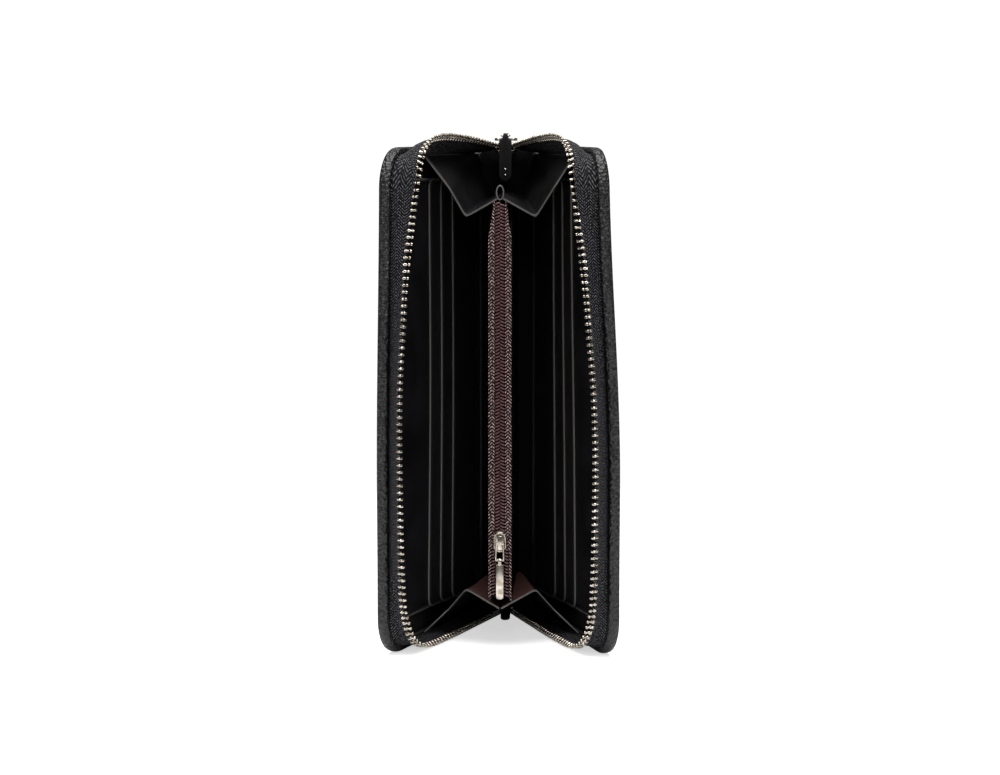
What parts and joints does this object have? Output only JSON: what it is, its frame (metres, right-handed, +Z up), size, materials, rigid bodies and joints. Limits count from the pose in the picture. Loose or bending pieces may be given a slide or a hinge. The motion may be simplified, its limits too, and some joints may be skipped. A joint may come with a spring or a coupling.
{
  "type": "long wallet",
  "caption": "Zip-around long wallet in pebbled black leather, standing open in a V, with stepped card slots, a zipped coin pocket and folded end gussets.",
  "frame": {"origin": "middle of the footprint, on the surface the wallet stands on", "axes": "+Z up along the covers' height, -Y out of the opening, +Y to the spine, X across the covers"},
  "size_m": [0.0904, 0.1055, 0.1955],
  "materials": {
    "outer_leather": "pebbled black leather, satin",
    "lining": "smooth black coated leather",
    "gusset_leather": "thin soft black coated leather",
    "board": "bonded leather-fibre board, hidden",
    "zip_tape": "herringbone polyester tape",
    "nickel": "polished nickel plate",
    "coin_zip_fabric": "wine woven tape and nylon coil"
  },
  "bodies": {
    "spine": {"spine_leather": "outer_leather", "spine_lining": "lining", "zip_head_tab": "zip_tape", "zip_top_stop": "nickel", "zip_bottom_stop": "nickel", "zip_tail_tab": "zip_tape", "coin_pocket_left_wall": "lining", "coin_pocket_right_wall": "lining", "coin_pocket_roof": "lining", "coin_pocket_floor": "lining", "coin_pocket_end_loop": "outer_leather", "coin_zip_left_tape": "coin_zip_fabric", "coin_zip_right_tape": "coin_zip_fabric", "coin_zip_left_coil": "coin_zip_fabric", "coin_zip_right_coil": "coin_zip_fabric"},
    "left_cover": {"left_cover_leather": "outer_leather", "left_cover_board": "board", "left_cover_lining": "lining", "left_slip_panel": "lining", "left_card_slot_1": "lining", "left_card_slot_2": "lining", "left_card_slot_3": "lining", "left_zip_tape": "zip_tape", "left_zip_teeth": "nickel", "left_top_gusset": "gusset_leather", "left_bottom_gusset": "gusset_leather"},
    "right_cover": {"right_cover_leather": "outer_leather", "right_cover_board": "board", "right_cover_lining": "lining", "right_slip_panel": "lining", "right_card_slot_1": "lining", "right_card_slot_2": "lining", "right_card_slot_3": "lining", "right_zip_tape": "zip_tape", "right_zip_teeth": "nickel", "right_top_gusset": "gusset_leather", "right_bottom_gusset": "gusset_leather"},
    "main_slider": {"main_slider_body": "nickel", "main_slider_bridge": "nickel"},
    "main_link": {"main_pull_link": "nickel"},
    "main_tab": {"main_pull_tab": "outer_leather"},
    "coin_slider": {"coin_slider_body": "nickel", "coin_slider_bridge": "nickel"},
    "coin_link": {"coin_pull_link": "nickel"},
    "coin_bar": {"coin_pull_bar": "nickel"}
  },
  "joints": [
    {"name": "left_cover_swing", "type": "hinge", "parent": "spine", "child": "left_cover", "pos_m": [-0.0117, 0.0509, 0.095], "axis": [0, 0, 1], "range_deg": [0, 16.5], "deforming": ["left_zip_tape", "left_zip_teeth", "left_top_gusset", "left_bottom_gusset"]},
    {"name": "right_cover_swing", "type": "hinge", "parent": "spine", "child": "right_cover", "pos_m": [0.0117, 0.0509, 0.095], "axis": [0, 0, 1], "range_deg": [-16.5, 0], "deforming": ["right_zip_tape", "right_zip_teeth", "right_top_gusset", "right_bottom_gusset"]},
    {"name": "main_slider_slide", "type": "slide", "parent": "spine", "child": "main_slider", "axis": [0, -0.9968, 0.0802], "range_m": [0, 0.0601]},
    {"name": "main_link_swing", "type": "hinge", "parent": "main_slider", "child": "main_link", "pos_m": [0, 0.0353, 0.19375], "axis": [-1, 0, 0], "range_deg": [0, 150]},
    {"name": "main_tab_swing", "type": "hinge", "parent": "main_link", "child": "main_tab", "pos_m": [0, 0.0305, 0.19375], "axis": [-1, 0, 0], "range_deg": [0, 60]},
    {"name": "coin_slider_slide", "type": "slide", "parent": "spine", "child": "coin_slider", "axis": [0, 0, 1], "range_m": [0, 0.12], "deforming": ["coin_zip_left_tape", "coin_zip_right_tape", "coin_zip_left_coil", "coin_zip_right_coil"]},
    {"name": "coin_link_swing", "type": "hinge", "parent": "coin_slider", "child": "coin_link", "pos_m": [0, -0.02815, 0.0407], "axis": [-1, 0, 0], "range_deg": [0, 120]},
    {"name": "coin_bar_swing", "type": "hinge", "parent": "coin_link", "child": "coin_bar", "pos_m": [0, -0.02815, 0.0347], "axis": [-1, 0, 0], "range_deg": [0, 60]}
  ],
  "couplings": [
    {"joint": "right_cover_swing", "follows": "left_cover_swing", "ratio": -1},
    {"joint": "main_slider_slide", "follows": "left_cover_swing", "m_per_rad": 0.20835}
  ]
}
